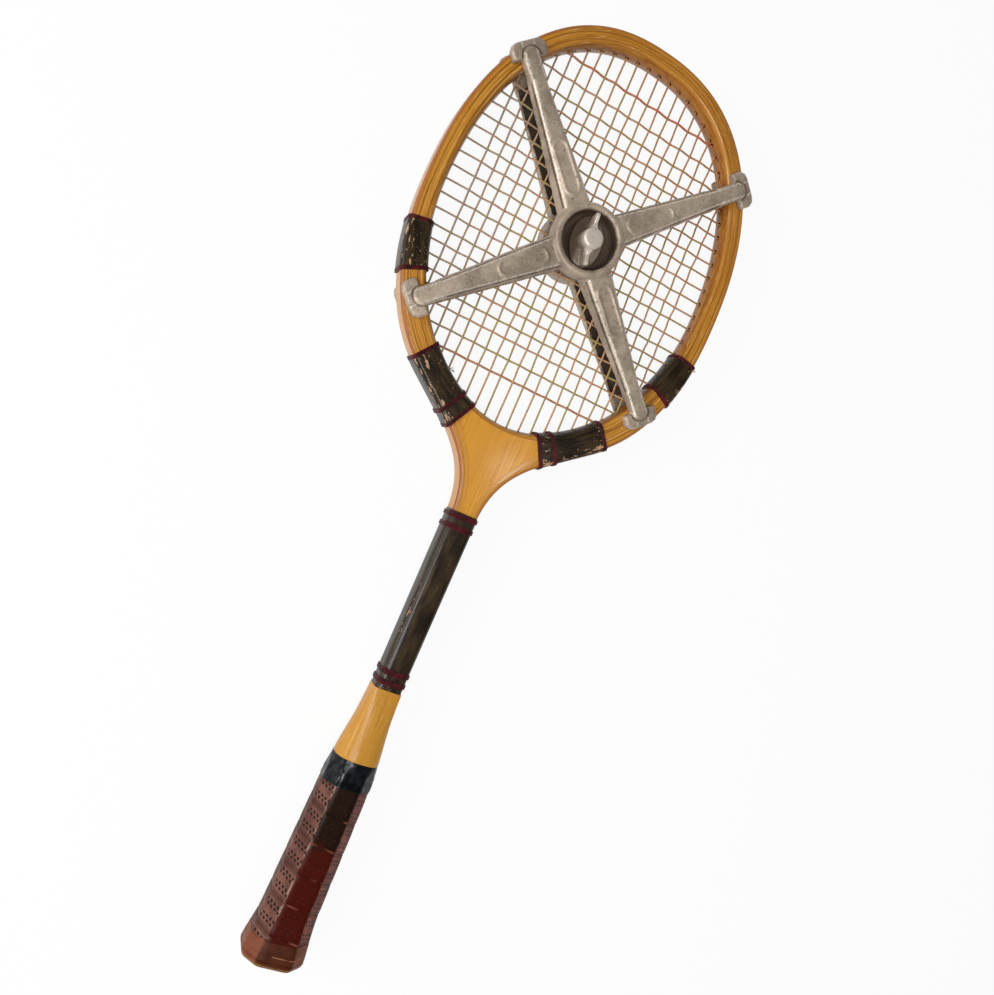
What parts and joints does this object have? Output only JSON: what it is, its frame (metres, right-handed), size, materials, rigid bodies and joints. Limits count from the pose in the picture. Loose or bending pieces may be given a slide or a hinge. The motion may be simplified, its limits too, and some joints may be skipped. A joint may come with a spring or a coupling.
{
  "type": "tennis racket in a press",
  "caption": "Laminated wooden tennis racket with leather grip, dark whippings and gut strings, clamped between two X-shaped cast halves of a press by a bolt with a wing nut.",
  "frame": {"origin": "centre of the butt's flat end, in the plane of the strings, 20 mm above the level that the part rests on", "axes": "+X along the racket to its tip, +Y across it, +Z along the bolt, out of the racket's face that shows the wing nut"},
  "size_m": [0.682, 0.2346, 0.0465],
  "materials": {
    "ash": "golden varnished ash, worn gloss",
    "pale_ash": "yellow varnished ash, gloss",
    "dark_whipping": "near-black varnished whipping, chipped gloss",
    "maroon_thread": "maroon thread, satin",
    "gut": "amber gut, semi-gloss",
    "red_cord": "orange-red cord",
    "grip_leather": "dark maroon-brown perforated leather, worn",
    "butt_leather": "worn tan leather",
    "navy_tape": "navy-black gloss",
    "cast_aluminium": "satin grey-beige casting",
    "steel": "dull steel"
  },
  "bodies": {
    "racket": {"outer_ply": "ash", "middle_ply": "ash", "inner_ply": "ash", "throat_wedge": "pale_ash", "shaft_core": "pale_ash", "handle_block_left": "pale_ash", "handle_block_right": "pale_ash", "handle_slab_front": "pale_ash", "handle_slab_back": "pale_ash", "butt_cap": "butt_leather", "grip_strap": "grip_leather", "collar_tape": "navy_tape", "shaft_wrap": "dark_whipping", "string_bed": "gut", "trebling_cord_lower": "red_cord", "trebling_cord_upper": "red_cord", "whipping_upper_left": "dark_whipping", "whipping_upper_right": "dark_whipping", "whipping_lower_left": "dark_whipping", "whipping_lower_right": "dark_whipping", "thread_upper_left_top": "maroon_thread", "thread_upper_left_bottom": "maroon_thread", "thread_upper_right_top": "maroon_thread", "thread_upper_right_bottom": "maroon_thread", "thread_lower_left_top": "maroon_thread", "thread_lower_left_middle": "maroon_thread", "thread_lower_left_bottom": "maroon_thread", "thread_lower_right_top": "maroon_thread", "thread_lower_right_middle": "maroon_thread", "thread_lower_right_bottom": "maroon_thread", "winding_throat_upper": "maroon_thread", "winding_throat_lower": "maroon_thread", "winding_handle_upper": "maroon_thread", "winding_handle_lower": "maroon_thread"},
    "press_rear": {"press_rear": "cast_aluminium", "clamp_bolt": "steel"},
    "press_front": {"press_front": "cast_aluminium", "nut_washer": "steel"},
    "wing_nut": {"wing_nut": "cast_aluminium"}
  },
  "joints": [
    {"name": "front_half_lift", "type": "slide", "parent": "racket", "child": "press_front", "axis": [0, 0, 1], "range_m": [0, 0.0032]},
    {"name": "rear_half_drop", "type": "slide", "parent": "racket", "child": "press_rear", "axis": [0, 0, -1], "range_m": [0, 0.0032]},
    {"name": "nut_turn", "type": "hinge", "parent": "press_front", "child": "wing_nut", "pos_m": [0.5348, 0, 0.01], "axis": [0, 0, 1], "range_deg": [0, 1800]}
  ],
  "couplings": [
    {"joint": "front_half_lift", "follows": "nut_turn", "m_per_rad": 0.000099472},
    {"joint": "rear_half_drop", "follows": "nut_turn", "m_per_rad": 0.000099472}
  ]
}
